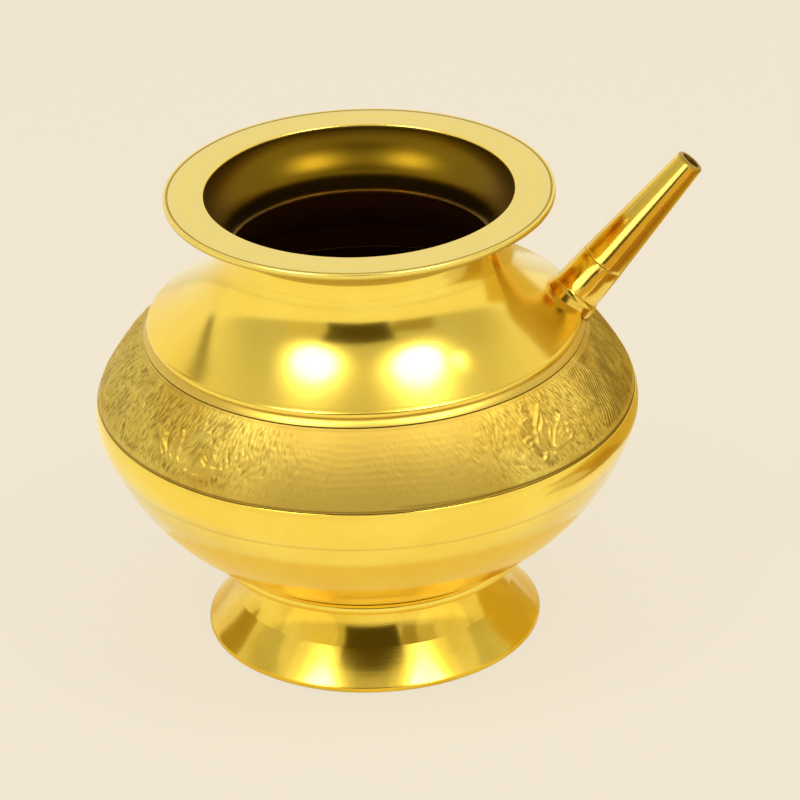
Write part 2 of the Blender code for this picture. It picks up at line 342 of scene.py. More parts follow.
@dataclass(frozen=True)
class Punching:
    """Punch marks finer than the mesh: short strokes up and down the band, with painted shade in their
    dents.
    """

    size: float = 0.7
    radius: float = 56.0
    squeeze: float = 0.45
    depth: float = 0.16
    dent_shade: str = "#7C5C14"
    darkest: float = 0.20
    rubbed: float = 0.12

    def mark(self, tree: bpy.types.NodeTree, place: bpy.types.Node, sheen: bpy.types.NodeSocket,
             normal: bpy.types.NodeSocket) -> tuple[bpy.types.NodeSocket, bpy.types.NodeSocket]:
        """Add the marks to a brass, with painted shade in their dents, fainter where hands rubbed its satin
        zone.

        Args:
            tree: Node tree of the brass.
            place: Node that splits the place round the pot's axis.
            sheen: Colour without the marks.
            normal: Normal without the marks.

        Returns:
            Colour and normal with the marks.
        """
        around = add_node(tree, "ShaderNodeMath", {
            0: place.outputs["Y"], 1: place.outputs["X"]}, operation="ARCTAN2")
        girth = add_node(tree, "ShaderNodeMath", {
            0: around.outputs[0], 1: self.radius * MM}, operation="MULTIPLY")
        rise = add_node(tree, "ShaderNodeMath", {
            0: place.outputs["Z"], 1: self.squeeze}, operation="MULTIPLY")
        chart = add_node(tree, "ShaderNodeCombineXYZ", {"X": girth.outputs[0], "Y": rise.outputs[0]})
        punch = add_node(tree, "ShaderNodeTexNoise", {
            "Vector": chart.outputs[0], "Detail": 2.0, "Scale": 1.0 / (self.size * MM),
            "Distortion": 0.6})
        wear = add_node(tree, "ShaderNodeAttribute", attribute_name=Zone.SATIN.value)
        fresh = add_node(tree, "ShaderNodeMapRange", {
            "Value": wear.outputs["Fac"], "To Min": 1.0, "To Max": self.rubbed})
        # Painted shade in the dents of the marks, up to the darkest share
        dark = add_node(tree, "ShaderNodeMapRange", {
            "Value": punch.outputs["Fac"], "From Min": 0.58, "From Max": 0.36, "To Max": self.darkest})
        share = add_node(tree, "ShaderNodeMath", {
            0: dark.outputs[0], 1: fresh.outputs[0]}, operation="MULTIPLY")
        mixed = add_node(tree, "ShaderNodeMix", {
            "Factor": share.outputs[0], "A": sheen, "B": linear(self.dent_shade)}, data_type="RGBA")
        bump = add_node(tree, "ShaderNodeBump", {
            "Height": punch.outputs["Fac"], "Normal": normal, "Strength": fresh.outputs[0],
            "Distance": self.depth * MM})
        return mixed.outputs["Result"], bump.outputs[0]


@dataclass(frozen=True)
class BrassFinish:
    """Yellow brass, from its colour and from the way its surface was worked.

    Ring marks follow the pot's axis, because the metal was spun or turned.
    """

    name: str
    bright: str
    warm: str
    roughness: float
    cloud: float
    ring_pitch: float
    ring_depth: float
    patches: tuple[Patch, ...] = ()
    punching: Optional[Punching] = None
    cloud_size: float = 18.0

    def material(self, axis_x: float) -> bpy.types.Material:
        """Build the node material.

        Args:
            axis_x: Place of the pot's axis along X, in metres.

        Returns:
            The material.
        """
        made = bpy.data.materials.new(self.name)
        made.use_nodes = True
        tree = made.node_tree
        shader = tree.nodes["Principled BSDF"]
        place = add_node(tree, "ShaderNodeTexCoord").outputs["Object"]
        centred = add_node(tree, "ShaderNodeMapping", {"Vector": place, "Location": (-axis_x, 0.0, 0.0)})
        split = add_node(tree, "ShaderNodeSeparateXYZ", {0: centred.outputs[0]})
        flat = add_node(tree, "ShaderNodeCombineXYZ", {"X": split.outputs["X"], "Y": split.outputs["Y"]})
        radius = add_node(tree, "ShaderNodeVectorMath", {0: flat.outputs[0]}, operation="LENGTH")

        # Clouds the size of a thumb: where the cloth wiped less, the metal is duller and warmer
        cloud = add_node(tree, "ShaderNodeTexNoise", {
            "Vector": place, "Detail": 4.0, "Roughness": 0.6, "Scale": 1.0 / (self.cloud_size * MM)})
        tint = add_node(tree, "ShaderNodeMapRange", {
            "Value": cloud.outputs["Fac"], "From Min": 0.35,
            "From Max": 0.7}, interpolation_type="SMOOTHSTEP")
        colour = add_node(tree, "ShaderNodeMix", {
            "Factor": tint.outputs[0], "A": linear(self.bright),
            "B": linear(self.warm)}, data_type="RGBA")
        dull = add_node(tree, "ShaderNodeMath", {
            0: cloud.outputs["Fac"], 1: self.cloud, 2: self.roughness}, operation="MULTIPLY_ADD")
        sheen, rough = colour.outputs["Result"], dull.outputs[0]
        for patch in self.patches:
            where = add_node(tree, "ShaderNodeAttribute", attribute_name=patch.zone.value)
            share = add_node(tree, "ShaderNodeMapRange", {
                "Value": where.outputs["Fac"], "From Min": patch.low, "From Max": patch.high,
                "To Max": patch.most})
            mixed = add_node(tree, "ShaderNodeMix", {
                "Factor": share.outputs[0], "A": sheen, "B": linear(patch.colour)}, data_type="RGBA")
            sheen = mixed.outputs["Result"]
            mixed = add_node(tree, "ShaderNodeMix", {
                "Factor": share.outputs[0], "A": rough, "B": patch.roughness}, data_type="FLOAT")
            rough = mixed.outputs["Result"]

        # Fine ring marks left by the tool, drawn a little coarser than real so that they show
        rings = add_node(tree, "ShaderNodeCombineXYZ", {
            "X": radius.outputs["Value"], "Y": split.outputs["Z"]})
        mark = add_node(tree, "ShaderNodeTexNoise", {
            "Vector": rings.outputs[0], "Detail": 3.0, "Roughness": 0.6,
            "Scale": 1.0 / (self.ring_pitch * MM)})
        bump = add_node(tree, "ShaderNodeBump", {
            "Height": mark.outputs["Fac"], "Strength": 1.0, "Distance": self.ring_depth * MM})
        normal = bump.outputs[0]
        if self.punching:
            sheen, normal = self.punching.mark(tree, split, sheen, normal)
        tree.links.new(sheen, shader.inputs["Base Color"])
        tree.links.new(rough, shader.inputs["Roughness"])
        tree.links.new(normal, shader.inputs["Normal"])
        shader.inputs["Metallic"].default_value = 1.0
        return made


Brasses = dict[BrassFinish, bpy.types.Material]

# Inside faces, the foot's underside and the spout's tip: brown and dull
DARK_BROWN_INSIDE = Patch(Zone.INSIDE, "#6E4A1C", 0.6)
# Inside of the throat: still yellow, but darker and softer than the outside, the darkness being painted
# shade
THROAT_PAINTED_SHADE = Patch(Zone.THROAT, "#7A5E10", 0.34)
# Painted shade in grooves, in the bowl's crease and under the lip: a dark brown line
GROOVE_PAINTED_SHADE = Patch(Zone.SHADE_PAINT, "#5E420C", 0.60, low=0.02, high=0.15, most=0.90)
# Painted shade in the strokes of the band: dark brown, darker where a stroke is deeper
STROKE_PAINTED_SHADE = Patch(Zone.SHADE_PAINT, "#765612", 0.60, low=0.03, high=0.24, most=0.85)
# Front of the band, rubbed by hands: rougher and without strokes, and darker old gold as painted shade that
# tones down the lamps there
FRONT_WEAR_AND_SHADE = Patch(Zone.SATIN, "#BC9E44", 0.56, low=0.30, high=0.85, most=0.90)
# Border under the shoulder's nose, which the buff missed: duller, and darker old gold as painted shade
# under the nose
BORDER_DULL_AND_SHADE = Patch(Zone.SATIN, "#DDBA50", 0.36)
# Flat of the lip: close tool marks, and a pale colour that paints in a soft sheen
LIP_PAINTED_SHEEN = Patch(Zone.SATIN, "#E8D47C", 0.34)

# Buffed sheet brass: lemon yellow, mirror bright, with faint spinning rings
POLISHED_BRASS = BrassFinish("buffed_spun_brass", "#FAD858", "#F7D04E", roughness=0.11, cloud=0.10,
                             ring_pitch=0.6, ring_depth=0.0022,
                             patches=(BORDER_DULL_AND_SHADE, GROOVE_PAINTED_SHADE, DARK_BROWN_INSIDE))
# Foot: same sheet, wiped by many hands, so it is a clear mirror of deeper gold with olive clouds
HANDLED_BRASS = BrassFinish("handled_spun_brass", "#F8D24E", "#E6BC3A", roughness=0.07, cloud=0.10,
                            ring_pitch=0.6, ring_depth=0.0050, patches=(DARK_BROWN_INSIDE,))
# Spout: polished along its length to a clear mirror, a little deeper in colour than the shell
DRAWN_BRASS = BrassFinish("drawn_tube_brass", "#F0CC56", "#E2B844", roughness=0.08, cloud=0.12,
                          ring_pitch=0.5, ring_depth=0.003, patches=(DARK_BROWN_INSIDE,))
# Turned brass: the lip keeps concentric tool marks, and the neck below it is polished
SATIN_BRASS = BrassFinish("lathe_turned_brass", "#FAD858", "#F8D252", roughness=0.12, cloud=0.10,
                          ring_pitch=0.5, ring_depth=0.0040,
                          patches=(LIP_PAINTED_SHEEN, GROOVE_PAINTED_SHADE, THROAT_PAINTED_SHADE, DARK_BROWN_INSIDE))
# Chased brass: matt punched ground, with painted shade in the strokes
CHASED_BRASS = BrassFinish("chased_brass", "#DEC258", "#C6A23A", roughness=0.50, cloud=0.06,
                           ring_pitch=0.5, ring_depth=0.006,
                           patches=(FRONT_WEAR_AND_SHADE, STROKE_PAINTED_SHADE, DARK_BROWN_INSIDE), punching=Punching())
# Brazing filler: silvery yellow, cast and unpolished
FILLER_BRASS = BrassFinish("brazing_brass", "#F0D890", "#DDBB60", roughness=0.30, cloud=0.15,
                           ring_pitch=0.8, ring_depth=0.004)


class Draw(Enum):
    """Seeds of the chased band's random draws."""

    STROKES = 3
    DRIFT = 5
    GROUND = 8
    RAISED = 9
    SWELLS = 21
    SWAY = 31
    RISE = 32


@dataclass
class Chasing:
    """Punched ground, leaf sprays and palmettes on the band, as a height map in millimetres.

    The map is read by the distance round the band and the distance down from its top edge.
    Angles are in degrees to the right of the band's front.
    """

    height: float
    girth: float
    swells: int = 12
    cell: Point = (0.85, 1.9)
    stroke: float = 0.30
    stroke_half: float = 0.25
    ridge: float = 0.44
    sway: float = 2.2
    sway_cell: Point = (2.6, 3.0)
    comb: float = 0.95
    comb_centre: float = 98.0
    comb_half: float = 40.0
    comb_fade: float = 8.0
    border: Point = (1.0, 1.1)
    border_fade: Point = (0.8, 0.9)
    upper_line: float = 0.62
    lower_line: float = 0.25
    line_half: float = 0.26
    line_start: float = 2.5
    rubbed: float = 0.82
    rubbed_centre: float = 2.0
    rubbed_half: float = 30.0

    def dashes(self, round_: np.ndarray, down: np.ndarray, slant: np.ndarray, draw: Draw) -> np.ndarray:
        """Depth of a jittered field of short punch strokes.

        Args:
            round_: Distance round the band.
            down: Distance from the top edge.
            slant: Lean of the strokes, as distance round per distance down.
            draw: Seed of the jitter.

        Returns:
            Depth at each place from 0 to about 1, 0 between strokes.
        """
        columns = int(round(self.girth / self.cell[0]))
        width = self.girth / columns
        rows = int(self.height / self.cell[1]) + 3
        chance = np.random.default_rng(draw.value)
        jitter = chance.uniform(-0.5, 0.5, (rows, columns, 5))
        column = np.floor(round_ / width).astype(int)
        row = np.floor(down / self.cell[1]).astype(int)
        depth = np.zeros_like(down)
        for side in (-1, 0, 1):
            for step in (-1, 0, 1):
                # The five draws of a cell move its stroke down and round, lean it, stretch it and deepen it
                pick = jitter[np.clip(row + step + 1, 0, rows - 1), (column + side) % columns]
                along = down - (row + step + 0.5 + 0.8 * pick[:, 0]) * self.cell[1]
                across = round_ - (column + side + 0.5 + 0.8 * pick[:, 1]) * width
                across = across - (slant + 0.5 * pick[:, 2]) * along
                reach = 0.85 + 0.6 * pick[:, 3]
                stroke = np.exp(-(along / reach) ** 4 - (across / self.stroke_half) ** 2)
                depth = np.maximum(depth, stroke * (0.75 + 0.5 * pick[:, 4]))
        return depth

    def grain(self, round_: np.ndarray, down: np.ndarray, pitch: Point, draw: Draw) -> np.ndarray:
        """Smooth noise that runs on round the band without a join.

        Args:
            round_: Distance round the band.
            down: Distance from the top edge.
            pitch: Size of a cell round and down.
            draw: Seed of the noise.

        Returns:
            Noise from 0 to 1.
        """
        columns = int(round(self.girth / pitch[0]))
        rows = int(self.height / pitch[1]) + 4
        table = np.random.default_rng(draw.value).uniform(0.0, 1.0, (rows, columns))
        across = round_ / self.girth * columns
        along = down / pitch[1] + 1.0
        column = np.floor(across).astype(int)
        row = np.clip(np.floor(along).astype(int), 0, rows - 2)
        x, y = across - column, np.clip(along - row, 0.0, 1.0)
        x, y = x * x * (3.0 - 2.0 * x), y * y * (3.0 - 2.0 * y)
        left, right = column % columns, (column + 1) % columns
        upper = table[row, left] * (1.0 - x) + table[row, right] * x
        lower = table[row + 1, left] * (1.0 - x) + table[row + 1, right] * x
        return upper * (1.0 - y) + lower * y

    @staticmethod
    def leaf(x: np.ndarray, y: np.ndarray, lean: float, length: float,
             width: float) -> tuple[np.ndarray, np.ndarray]:
        """Ridges of one leaf with its tip up, and the ground that it covers.

        Args:
            x: Distance round from the leaf's foot.
            y: Distance up from the leaf's foot.
            lean: Lean of the leaf in degrees.
            length: Length of the leaf.
            width: Half of its width.

        Returns:
            Ridge height from 0 to 1, and 1 where the leaf covers the ground.
        """
        turn = math.radians(lean)
        up = y * math.cos(turn) + x * math.sin(turn)
        side = np.abs(x * math.cos(turn) - y * math.sin(turn))
        share = np.clip(up / length, 0.0, 1.0)
        half = width * np.sin(math.pi * share ** 0.8) + 0.02
        inside = (up > 0.0) & (up < length)
        rim = np.exp(-((side - half) / 0.34) ** 2) + 0.6 * np.exp(-((side - 0.5 * half) / 0.26) ** 2)
        vein = 0.7 * np.exp(-(side / 0.26) ** 2)
        return np.where(inside, np.maximum(rim, vein), 0.0), (inside & (side < half + 0.5)).astype(float)

    @staticmethod
    def curl(x: np.ndarray, y: np.ndarray, size: float, gap: float) -> np.ndarray:
        """Ridge of a hooked curl.

        Args:
            x: Distance round from the curl's middle.
            y: Distance up from the curl's middle.
            size: Radius of the curl.
            gap: Direction of its open side in degrees.

        Returns:
            Ridge height from 0 to 1.
        """
        radius = np.hypot(x, y)
        turn = np.arctan2(y, x) - math.radians(gap)
        turn = np.abs((turn + math.pi) % math.tau - math.pi)
        hook = np.exp(-((radius - size * (0.6 + 0.4 * turn / math.pi)) / 0.36) ** 2)
        return np.where(turn > 1.1, hook, 0.0)

    def palmette(self, x: np.ndarray, y: np.ndarray) -> tuple[np.ndarray, np.ndarray]:
        """Almond shaped palmette with rays on one side and curls on the other.

        Args:
            x: Distance round from its middle.
            y: Distance up from its middle.

        Returns:
            Ridge height, and 1 where it covers the ground.
        """
        ridge, ground = self.leaf(x, y + 6.6, 8.0, 13.0, 3.6)
        for lean, length in ((34.0, 9.0), (52.0, 7.6), (70.0, 6.4)):
            more, cover = self.leaf(x - 0.8, y + 5.2, lean, length, 1.15)
            ridge, ground = np.maximum(ridge, more), np.maximum(ground, cover)
        for left, up, size, gap in ((-4.6, 3.0, 1.7, 300.0), (-5.2, -0.6, 1.8, 20.0),
                                    (-4.0, -4.2, 1.7, 60.0), (-2.4, 5.8, 1.3, 250.0)):
            ridge = np.maximum(ridge, self.curl(x - left, y - up, size, gap))
            ground = np.maximum(ground, (np.hypot(x - left, y - up) < size + 0.6).astype(float))
        return ridge, ground

    def spray(self, x: np.ndarray, y: np.ndarray) -> tuple[np.ndarray, np.ndarray]:
        """Spray of slanting leaves that rise from one foot.

        Args:
            x: Distance round from its middle.
            y: Distance up from its middle.

        Returns:
            Ridge height, and 1 where it covers the ground.
        """
        ridge, ground = self.leaf(x + 1.0, y + 6.0, 24.0, 11.5, 1.9)
        for left, lean, length, width in ((-2.0, -6.0, 8.5, 1.4), (1.6, 44.0, 9.0, 1.5),
                                          (3.2, 62.0, 7.5, 1.2), (-4.4, -30.0, 6.5, 1.1)):
            more, cover = self.leaf(x - left, y + 6.2, lean, length, width)
            ridge, ground = np.maximum(ridge, more), np.maximum(ground, cover)
        return ridge, ground

    def wear(self, turn: np.ndarray) -> np.ndarray:
        """How far hands and cloths rubbed the strokes away, 1 right in front."""
        return np.exp(-(np.abs(np.degrees(turn) - self.rubbed_centre) / self.rubbed_half) ** 4)

    def motifs(self, degrees: np.ndarray, down: np.ndarray) -> tuple[np.ndarray, np.ndarray]:
        """Ridges of all leaves and palmettes round the band.

        Args:
            degrees: Angle round the pot to the right of the band's front.
            down: Distance from the band's top edge.

        Returns:
            Ridge height from 0 to about 1, and 1 where a motif covers the ground.
        """
        ridge, ground = np.zeros_like(degrees), np.zeros_like(degrees)
        # Struck by eye, so no two leaves are alike
        round_ = (degrees % 360.0) / 360.0 * self.girth
        sway = self.sway * (self.grain(round_, down, self.sway_cell, Draw.SWAY) - 0.5)
        rise = self.sway * (self.grain(round_, down, self.sway_cell, Draw.RISE) - 0.5)
        for centre, motif in ((44.0, self.palmette), (-44.0, self.spray), (136.0, self.spray),
                              (-136.0, self.palmette)):
            offset = (degrees - centre + 180.0) % 360.0 - 180.0
            more, cover = motif(offset / 360.0 * self.girth + sway, self.height / 2.0 - down + rise)
            ridge, ground = np.maximum(ridge, more), np.maximum(ground, cover)
        return ridge, ground

    def relief(self, turn: np.ndarray, down: np.ndarray) -> np.ndarray:
        """Height of the surface over the plain band.

        Args:
            turn: Angle round the pot to the right of the band's front, in radians from -pi to pi.
            down: Distance from the band's top edge.

        Returns:
            Height in millimetres, negative where metal was pushed in.
        """
        round_ = (turn % math.tau) / math.tau * self.girth
        degrees = np.degrees(turn)
        chance = np.random.default_rng(Draw.SWELLS.value)
        slow = np.zeros_like(turn)
        for _ in range(self.swells):
            waves = chance.integers(2, 26)
            tilt = chance.uniform(-0.5, 0.5)
            slow += np.sin(waves * turn + tilt * down + chance.uniform(0.0, math.tau))
        slow /= self.swells ** 0.5

        # The front was rubbed by hands and cloths: strokes fade out there, and at both borders
        worn = 1.0 - self.rubbed * self.wear(turn)
        edge = np.clip((down - self.border[0]) / self.border_fade[0], 0.0, 1.0)
        edge = edge * np.clip((self.height - self.border[1] - down) / self.border_fade[1], 0.0, 1.0)
        lean = 0.28 * np.sin(turn * 2.0) + 0.22 * slow
        drift = 1.6 * self.grain(round_, down, (6.0, 5.0), Draw.DRIFT)
        strokes = self.dashes(round_ + drift, down, lean, Draw.STROKES)
        raised = self.dashes(round_ + drift + 0.4 * self.cell[0], down, lean, Draw.RAISED)
        swell = self.grain(round_ + drift, down, (1.5, 2.4), Draw.GROUND) - 0.5
        # Beyond the palmette the ground is drawn in long combed lines
        comb = np.clip((self.comb_half - np.abs(degrees - self.comb_centre)) / self.comb_fade, 0.0, 1.0)
        lines = 0.5 + 0.5 * np.sin(math.tau * (round_ + drift + 0.35 * down) / self.comb)
        strokes = strokes * (1.0 - comb) + 1.4 * lines * comb

        # Leaves and palmettes stand on a quieter, slightly sunk ground
        ridge, ground = self.motifs(degrees, down)
        depth = self.stroke * (strokes - 0.55 * raised * (1.0 - comb)) * worn * (0.8 + 0.25 * slow)
        depth = depth * (1.0 - 0.6 * ground)
        depth = depth + 0.11 * ground * (1.0 - np.clip(1.6 * ridge, 0.0, 1.0))
        brush = 0.03 * (1.0 - worn) * np.sin(down * 6.1 + 1.5 * slow) * np.sin(down * 2.3 + 3.0 * turn)
        height = (self.ridge * ridge - depth + (0.05 * slow + 0.14 * swell) * worn + brush) * edge

        # Border lines: the third starts above the lower one and runs into it
        start = np.clip((degrees - self.line_start) / 42.0, 0.0, 1.0)
        fade = np.clip((degrees - self.line_start) / 6.0, 0.0, 1.0)
        low = self.height - self.lower_line
        for line, cut in ((self.upper_line, 0.08), (low, 0.24), (low - 0.95 * (1.0 - start), 0.16 * fade)):
            height = height - cut * np.exp(-((down - line) / self.line_half) ** 2)
        return height


@dataclass
class Vessel(PotAxis):
    """Mouth ring, shoulder, chased band and bowl, turned round the pot's axis."""

    lip_radius: float
    top: float
    front: float = -94.5
    wall: float = 1.2
    seam_gap: float = 0.02
    line_gap: float = 0.26
    mouth_radius: float = 35.3
    lip_thickness: float = 1.5
    lip_rings: int = 12
    lip_groove: float = 0.9
    neck_radius: float = 33.0
    neck_flare: float = 5.5
    neck_seam: float = 97.4
    spigot: float = 2.6
    spigot_play: float = 0.15
    throat_radius: float = 30.6
    nose_radius: float = 49.9
    nose_z: float = 77.3
    groove_z: float = 76.2
    shoulder_pull: float = 89.3
    shoulder_inner: float = 48.0
    tenon: float = 2.8
    tenon_radius: float = 49.2
    spout_hole: float = 3.4
    spout_hole_depth: float = 7.0
    band_top_radius: float = 50.8
    band_top: float = 74.7
    band_bulge: float = 1.1
    band_back: float = 51.2
    band_back_low: float = 56.6
    tenon_rebate: float = 49.4
    tongue_rebate: float = 59.5
    tongue_outer: float = 59.3
    tongue_inner: float = 58.1
    tongue: float = 2.3
    belly_radius: float = 62.5
    belly_seam_radius: float = 62.1
    belly_seam: float = 59.1
    crease_radius: float = 60.9
    crease: float = 49.5
    bowl_bulge: float = 3.0
    bowl_edge: Point = (37.0, 22.2)
    bowl_edge_inner: Point = (36.8, 23.4)
    base_radius: float = 35.6
    base: float = 21.2
    base_rings: Point = (12.0, 24.0)
    steps: int = 288
    band_steps: int = 1392
    band_rows: int = 60

    def make(self, spout: "Spout", brasses: Brasses) -> tuple[bpy.types.Object, bpy.types.Object]:
        """Build and dress the four pieces.

        Args:
            spout: Spout that pierces the shoulder.
            brasses: Material of each finish.

        Returns:
            The mouth ring and the band.
        """
        shoulder = self.shoulder(spout.root(), spout.way())
        ring, band = self.mouth_ring(), self.band()
        uneven = Handwork(self.axis_x)
        for piece, node, slot, finish in (
                (ring, "mouth_ring", Slot.SATIN, SATIN_BRASS),
                (shoulder, "shoulder", Slot.POLISHED, POLISHED_BRASS),
                (band, "engraved_band", Slot.CHASED, CHASED_BRASS),
                (self.bowl(), "bowl", Slot.POLISHED, POLISHED_BRASS)):
            uneven.apply(piece)
            settle(piece, node, brasses[finish])
        return ring, band

    def mouth_ring(self) -> bpy.types.Object:
        """Flat lip and flared neck with a spigot below the seam.

        Returns:
            The piece.
        """
        under = self.top - self.lip_thickness
        seam = self.neck_seam + self.seam_gap / 2.0
        spigot_radius = self.neck_radius - self.wall - self.spigot_play
        flare = self.neck_radius + self.neck_flare
        groove = self.lip_radius - self.lip_groove
        first, last = self.mouth_radius + 0.7, self.lip_radius - 1.2
        line = Outline()
        line.add([(self.mouth_radius, self.top)], Zone.SATIN, 0.3, rounding=0.35)
        # Tool marks of the lathe: rings where the lip's painted sheen is a little weaker or stronger
        for ring in range(self.lip_rings + 1):
            line.add([(first + (last - first) * ring / self.lip_rings, self.top)], Zone.SATIN,
                     0.8 + 0.2 * math.sin(2.4 * ring * ring))
        # Painted shade: a dark line in the lip's turned groove
        line.add([(groove - 0.22, self.top - 0.05), (groove, self.top - 0.12),
                  (groove + 0.22, self.top - 0.05)], Zone.SHADE_PAINT, 0.11)
        line.add([(self.lip_radius - 0.6, self.top)], Zone.SATIN, 0.6)
        line.add([(self.lip_radius, self.top)], Zone.SATIN, 0.4, rounding=0.40)
        # Painted shade along the lip's outer edge and on its underside
        line.add([(self.lip_radius, under)], Zone.SHADE_PAINT, 0.08, rounding=0.40)
        line.add([(self.lip_radius - 0.8, under - 0.02), (flare + 0.1, under - 0.28)], Zone.SHADE_PAINT, 0.05)
        neck = bezier((flare, under - 0.3), (self.neck_radius + 2.0, under - 0.7),
                      (self.neck_radius, seam + 4.8), (self.neck_radius, seam), 28)
        # Painted shade: a dark line in the hollow just under the lip
        line.add(neck[:16]).add(neck[16:21], Zone.SHADE_PAINT, 0.09).add(neck[21:])
        line.add([(spigot_radius, seam), (spigot_radius, seam - self.spigot)], Zone.INSIDE)
        # The throat's inside takes the painted shade of the throat zone
        line.add([(self.throat_radius, seam - self.spigot)], Zone.THROAT, rounding=0.2)
        line.add(bezier((self.throat_radius, seam + 0.5), (self.throat_radius, seam + 4.0),
                        (self.mouth_radius - 0.7, self.top - 6.6),
                        (self.mouth_radius, self.top - 0.8), 32), Zone.THROAT)
        return line.spin("mouth_ring_turned", self.steps, self.turn())

    def shoulder_outer(self, steps: int) -> list[Point]:
        """Outer line of the shoulder from the neck seam to the nose."""
        return bezier((self.neck_radius, self.neck_seam - self.seam_gap / 2.0),
                      (self.neck_radius, self.shoulder_pull),
                      (self.nose_radius - 7.7, self.nose_z + 5.4),
                      (self.nose_radius - 0.9, self.nose_z + 0.9), steps)

    def skin(self) -> list[Point]:
        """Outer line of shoulder and band, which the spout's collar is seated on."""
        nose = [(self.nose_radius, self.nose_z), (self.nose_radius, self.groove_z)]
        return self.shoulder_outer(40) + nose + arc((self.band_top_radius, self.band_top),
                                                    (self.belly_seam_radius, self.belly_seam),
                                                    self.band_bulge, 12)

    def shoulder(self, root: Vector, way: Vector) -> bpy.types.Object:
        """Concave shell with a nose, a groove and a border, pierced for the spout.

        Args:
            root: Point in metres where the spout's axis leaves the shoulder.
            way: Unit vector along the spout's axis.

        Returns:
            The piece.
        """
        seam = self.band_top + self.line_gap / 2.0
        end = seam - self.tenon
        inner = self.shoulder_inner
        neck = self.neck_radius - self.wall
        line = Outline()
        line.add(self.shoulder_outer(56))
        line.add([(self.nose_radius, self.nose_z + 0.35)], rounding=0.4)
        # Painted shade: a dark line in the groove under the nose, and a darker border below it
        line.add([(self.nose_radius - 0.05, self.groove_z + 0.45)], Zone.SATIN, 0.5, rounding=0.2)
        line.add([(self.nose_radius - 0.45, self.groove_z + 0.1)], Zone.SHADE_PAINT, 0.12)
        line.add([(self.nose_radius - 0.40, self.groove_z - 0.2)], Zone.SATIN)
        line.add([(self.nose_radius + 0.15, self.groove_z - 0.6)], Zone.SATIN, rounding=0.25)
        line.add([(self.band_top_radius, seam)], Zone.SATIN, rounding=0.15)
        line.add([(self.tenon_radius, seam), (self.tenon_radius, end)], Zone.INSIDE)
        line.add([(inner, end), (inner, self.groove_z - 0.3)], Zone.INSIDE)
        rising = bezier((inner - 0.8, self.nose_z + 0.6), (inner - 6.7, self.nose_z + 4.8),
                        (neck, self.shoulder_pull - 0.3), (neck, self.neck_seam - self.seam_gap / 2.0), 36)
        line.add(rising, Zone.INSIDE)
        piece = line.spin("shoulder_spun", self.steps, self.turn())
        self.pierce(piece, root, way)
        return piece

    def pierce(self, piece: bpy.types.Object, root: Vector, way: Vector) -> None:
        """Open the spout's hole through both walls of a shell and close its edge.

        Args:
            piece: Shell to be pierced.
            root: Point on the hole's axis.
            way: Unit vector along that axis.
        """
        work = bmesh.new()
        work.from_mesh(piece.data)
        gone = []
        for face in work.faces:
            offset = face.calc_center_median() - root
            along = offset.dot(way)
            out = (offset - way * along).length
            if abs(along) < self.spout_hole_depth * MM and out < self.spout_hole * MM:
                gone.append(face)
        bmesh.ops.delete(work, geom=gone, context="FACES")
        bmesh.ops.bridge_loops(work, edges=[edge for edge in work.edges if edge.is_boundary])
        bmesh.ops.recalc_face_normals(work, faces=work.faces)
        work.to_mesh(piece.data)
        work.free()

    def band(self) -> bpy.types.Object:
        """Convex ring with the chased ground and its leaves as real relief.

        Returns:
            The piece.
        """
        top = self.band_top - self.line_gap / 2.0
        bottom = self.belly_seam + self.line_gap / 2.0
        outer = arc((self.band_top_radius, top), (self.belly_seam_radius, bottom), self.band_bulge,
                    self.band_rows)
        line = Outline().add(outer)
        line.add([(self.tongue_rebate, bottom), (self.tongue_rebate, bottom + self.tongue + 0.1),
                  (self.band_back_low, bottom + 7.0), (self.band_back, top - 2.0),
                  (self.tenon_rebate, top - 2.0), (self.tenon_rebate, top)], Zone.INSIDE)
        piece = line.spin("engraved_band_chased", self.band_steps, self.turn())
        self.chase(piece, np.array(outer))
        return piece

    def chase(self, piece: bpy.types.Object, outer: np.ndarray) -> None:
        """Push the band's outer face in and out by the chased pattern.

        Args:
            piece: Plain band.
            outer: Outline points of its outer face, from the top down.
        """
        mesh = piece.data
        place = read_places(mesh)
        across = place[:, 0] - self.axis_x
        radius = np.hypot(across, place[:, 1]) / MM
        steps = np.hypot(*np.diff(outer, axis=0).T)
        length = np.concatenate(([0.0], np.cumsum(steps)))
        height = place[:, 2] / MM
        down = np.interp(-height, -outer[:, 1], length)
        on_face = np.abs(radius - np.interp(-height, -outer[:, 1], outer[:, 0])) < 0.02
        angle = np.arctan2(place[:, 1], across)
        turn = (angle - math.radians(self.front) + math.pi) % math.tau - math.pi
        girth = math.tau * (self.band_top_radius + self.belly_seam_radius) / 2.0
        pattern = Chasing(length[-1], girth)
        relief = np.where(on_face, pattern.relief(turn, down), 0.0)
        slope = np.gradient(outer, axis=0)
        slope /= np.hypot(slope[:, 0], slope[:, 1])[:, None]
        outward = np.interp(down, length, -slope[:, 1]) * relief * MM
        place[:, 0] += np.cos(angle) * outward
        place[:, 1] += np.sin(angle) * outward
        place[:, 2] += np.interp(down, length, slope[:, 0]) * relief * MM
        mesh.vertices.foreach_set("co", place.ravel())
        # The band's front, and a little of the ground under the motifs, is worn and gets a darker colour as
        # painted shade
        smooth = np.maximum(pattern.wear(turn), 0.35 * pattern.motifs(np.degrees(turn), down)[1])
        # Deeper strokes get more painted shade
        for zone, values in ((Zone.SHADE_PAINT, np.clip(-relief, 0.0, None)), (Zone.SATIN, smooth)):
            mesh.attributes[zone.value].data.foreach_set("value", values.astype(np.float32))
        mesh.update()

